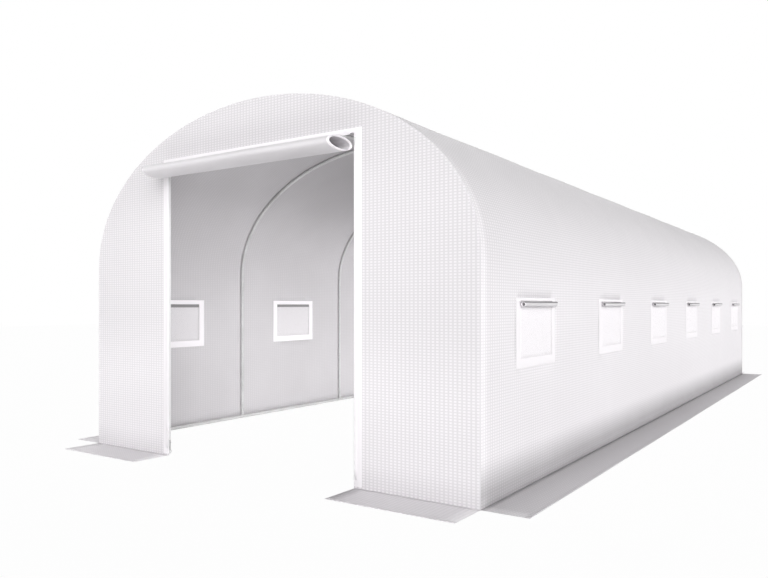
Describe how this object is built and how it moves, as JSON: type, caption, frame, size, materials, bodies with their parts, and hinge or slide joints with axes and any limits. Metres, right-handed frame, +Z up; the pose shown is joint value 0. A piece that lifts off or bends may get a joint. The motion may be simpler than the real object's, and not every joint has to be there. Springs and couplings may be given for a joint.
{
  "type": "polytunnel",
  "caption": "Walk-in polytunnel: hooped steel frame under a white woven cover, with a roll-up door, mesh windows with roll-up flaps and ground skirts.",
  "frame": {"origin": "on the ground at the middle of the tunnel's footprint", "axes": "+Y runs along the tunnel from the door end to the closed end, +X to the right for someone who looks along +Y, +Z up"},
  "size_m": [3.5, 8.5, 2.179],
  "materials": {
    "galvanised_steel": "matte",
    "white_coated_steel": "satin",
    "woven_cover": "matte",
    "window_mesh": "matte",
    "white_webbing": "matte",
    "ground_skirt": "matte",
    "rolled_flap": "matte",
    "zip_slider": "satin"
  },
  "bodies": {
    "tunnel": {"hoop_1": "galvanised_steel", "hoop_2": "galvanised_steel", "hoop_3": "galvanised_steel", "hoop_4": "galvanised_steel", "hoop_5": "galvanised_steel", "hoop_6": "galvanised_steel", "hoop_7": "galvanised_steel", "ridge_purlin": "galvanised_steel", "ground_rail_left": "galvanised_steel", "ground_rail_right": "galvanised_steel", "ground_rail_front_left": "galvanised_steel", "ground_rail_front_right": "galvanised_steel", "ground_rail_back": "galvanised_steel", "door_post_left": "white_coated_steel", "door_post_right": "white_coated_steel", "door_crossbar": "white_coated_steel", "back_post_left": "galvanised_steel", "back_post_right": "galvanised_steel", "back_crossbar": "galvanised_steel", "main_cover": "woven_cover", "front_panel": "woven_cover", "back_panel": "woven_cover", "window_left_1": "window_mesh", "window_left_2": "window_mesh", "window_left_3": "window_mesh", "window_left_4": "window_mesh", "window_left_5": "window_mesh", "window_left_6": "window_mesh", "window_right_1": "window_mesh", "window_right_2": "window_mesh", "window_right_3": "window_mesh", "window_right_4": "window_mesh", "window_right_5": "window_mesh", "window_right_6": "window_mesh", "door_border": "white_webbing", "zip_tape_left": "white_webbing", "zip_tape_right": "white_webbing", "door_flap_header": "rolled_flap"},
    "door_flap": {"door_flap_roll": "rolled_flap"},
    "window_roll_left_1_body": {"window_roll_left_1": "rolled_flap"},
    "window_roll_left_2_body": {"window_roll_left_2": "rolled_flap"},
    "window_roll_left_3_body": {"window_roll_left_3": "rolled_flap"},
    "window_roll_left_4_body": {"window_roll_left_4": "rolled_flap"},
    "window_roll_left_5_body": {"window_roll_left_5": "rolled_flap"},
    "window_roll_left_6_body": {"window_roll_left_6": "rolled_flap"},
    "window_roll_right_1_body": {"window_roll_right_1": "rolled_flap"},
    "window_roll_right_2_body": {"window_roll_right_2": "rolled_flap"},
    "window_roll_right_3_body": {"window_roll_right_3": "rolled_flap"},
    "window_roll_right_4_body": {"window_roll_right_4": "rolled_flap"},
    "window_roll_right_5_body": {"window_roll_right_5": "rolled_flap"},
    "window_roll_right_6_body": {"window_roll_right_6": "rolled_flap"},
    "zip_slider_left_body": {"zip_slider_left": "zip_slider"},
    "zip_slider_right_body": {"zip_slider_right": "zip_slider"},
    "skirt_left_body": {"skirt_left": "ground_skirt"},
    "skirt_right_body": {"skirt_right": "ground_skirt"},
    "skirt_front_left_body": {"skirt_front_left": "ground_skirt"},
    "skirt_front_right_body": {"skirt_front_right": "ground_skirt"},
    "skirt_back_body": {"skirt_back": "ground_skirt"}
  },
  "joints": [
    {"name": "door_flap_lower", "type": "slide", "parent": "tunnel", "child": "door_flap", "axis": [0, 0, -1], "range_m": [0, 1.7], "deforming": ["door_flap_header"]},
    {"name": "window_flap_left_1_lower", "type": "slide", "parent": "tunnel", "child": "window_roll_left_1_body", "axis": [0, 0, -1], "range_m": [0, 0.31]},
    {"name": "window_flap_left_2_lower", "type": "slide", "parent": "tunnel", "child": "window_roll_left_2_body", "axis": [0, 0, -1], "range_m": [0, 0.31]},
    {"name": "window_flap_left_3_lower", "type": "slide", "parent": "tunnel", "child": "window_roll_left_3_body", "axis": [0, 0, -1], "range_m": [0, 0.31]},
    {"name": "window_flap_left_4_lower", "type": "slide", "parent": "tunnel", "child": "window_roll_left_4_body", "axis": [0, 0, -1], "range_m": [0, 0.31]},
    {"name": "window_flap_left_5_lower", "type": "slide", "parent": "tunnel", "child": "window_roll_left_5_body", "axis": [0, 0, -1], "range_m": [0, 0.31]},
    {"name": "window_flap_left_6_lower", "type": "slide", "parent": "tunnel", "child": "window_roll_left_6_body", "axis": [0, 0, -1], "range_m": [0, 0.31]},
    {"name": "window_flap_right_1_lower", "type": "slide", "parent": "tunnel", "child": "window_roll_right_1_body", "axis": [0, 0, -1], "range_m": [0, 0.31]},
    {"name": "window_flap_right_2_lower", "type": "slide", "parent": "tunnel", "child": "window_roll_right_2_body", "axis": [0, 0, -1], "range_m": [0, 0.31]},
    {"name": "window_flap_right_3_lower", "type": "slide", "parent": "tunnel", "child": "window_roll_right_3_body", "axis": [0, 0, -1], "range_m": [0, 0.31]},
    {"name": "window_flap_right_4_lower", "type": "slide", "parent": "tunnel", "child": "window_roll_right_4_body", "axis": [0, 0, -1], "range_m": [0, 0.31]},
    {"name": "window_flap_right_5_lower", "type": "slide", "parent": "tunnel", "child": "window_roll_right_5_body", "axis": [0, 0, -1], "range_m": [0, 0.31]},
    {"name": "window_flap_right_6_lower", "type": "slide", "parent": "tunnel", "child": "window_roll_right_6_body", "axis": [0, 0, -1], "range_m": [0, 0.31]},
    {"name": "zip_slider_left_slide", "type": "slide", "parent": "tunnel", "child": "zip_slider_left_body", "axis": [0, 0, -1], "range_m": [0, 1.76]},
    {"name": "zip_slider_right_slide", "type": "slide", "parent": "tunnel", "child": "zip_slider_right_body", "axis": [0, 0, -1], "range_m": [0, 1.76]},
    {"name": "skirt_left_fold", "type": "hinge", "parent": "tunnel", "child": "skirt_left_body", "pos_m": [-1.5003, 0, 0.0015], "axis": [0, 1, 0], "range_deg": [0, 80]},
    {"name": "skirt_right_fold", "type": "hinge", "parent": "tunnel", "child": "skirt_right_body", "pos_m": [1.5003, 0, 0.0015], "axis": [0, -1, 0], "range_deg": [0, 80]},
    {"name": "skirt_front_left_fold", "type": "hinge", "parent": "tunnel", "child": "skirt_front_left_body", "pos_m": [-1.1285, -4.0003, 0.0015], "axis": [-1, 0, 0], "range_deg": [0, 80]},
    {"name": "skirt_front_right_fold", "type": "hinge", "parent": "tunnel", "child": "skirt_front_right_body", "pos_m": [1.1285, -4.0003, 0.0015], "axis": [-1, 0, 0], "range_deg": [0, 80]},
    {"name": "skirt_back_fold", "type": "hinge", "parent": "tunnel", "child": "skirt_back_body", "pos_m": [0, 4.0003, 0.0015], "axis": [1, 0, 0], "range_deg": [0, 80]}
  ]
}
